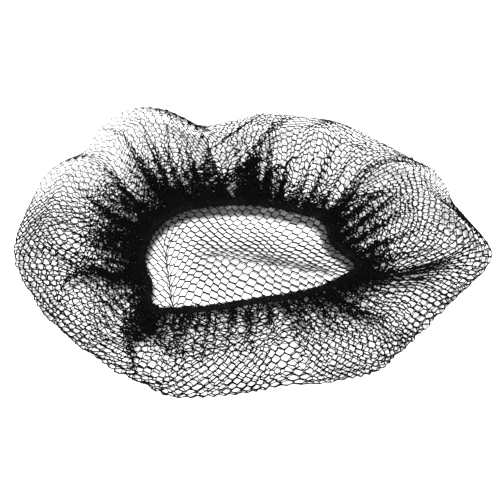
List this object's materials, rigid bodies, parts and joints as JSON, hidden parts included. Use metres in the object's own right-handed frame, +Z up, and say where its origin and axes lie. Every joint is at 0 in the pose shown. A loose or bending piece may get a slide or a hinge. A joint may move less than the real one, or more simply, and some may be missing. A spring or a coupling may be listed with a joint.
{
  "type": "hairnet",
  "caption": "Round hairnet of coarse honeycomb net gathered onto an elastic edge, lying on its crown with the mouth up.",
  "frame": {"origin": "centre of the footprint box at the surface that the net lies on", "axes": "+X to the net's longer right end, +Y to the back, +Z up out of the mouth"},
  "size_m": [0.2951, 0.2151, 0.0446],
  "materials": {
    "net": "black knitted nylon honeycomb net",
    "elastic": "black covered elastic cord"
  },
  "bodies": {
    "root": {"net": "net", "elastic_band": "elastic"}
  },
  "joints": []
}
